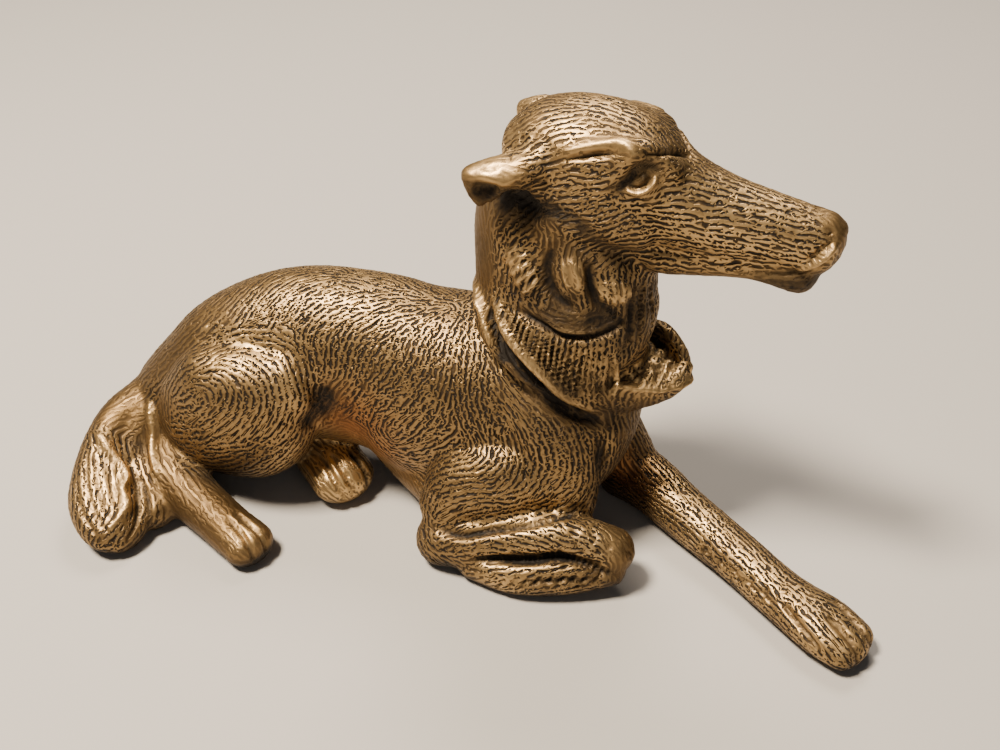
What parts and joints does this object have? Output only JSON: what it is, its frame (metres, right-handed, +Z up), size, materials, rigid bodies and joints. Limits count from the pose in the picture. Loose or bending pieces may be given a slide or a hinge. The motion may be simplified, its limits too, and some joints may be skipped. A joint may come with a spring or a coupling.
{
  "type": "animal figurine",
  "caption": "Cast bronze hound lying with its head raised, one foreleg folded and the other stretched forward, with a carved neck ruff and a feathered tail.",
  "frame": {"origin": "middle of the figure's outline, on the plane that it rests on", "axes": "+X the way the hound faces, +Y its left side, +Z up"},
  "size_m": [0.1224, 0.0546, 0.0683],
  "materials": {
    "bronze": "worn golden-brown bronze with dark grooves"
  },
  "bodies": {
    "root": {"hound_figure": "bronze"}
  },
  "joints": []
}
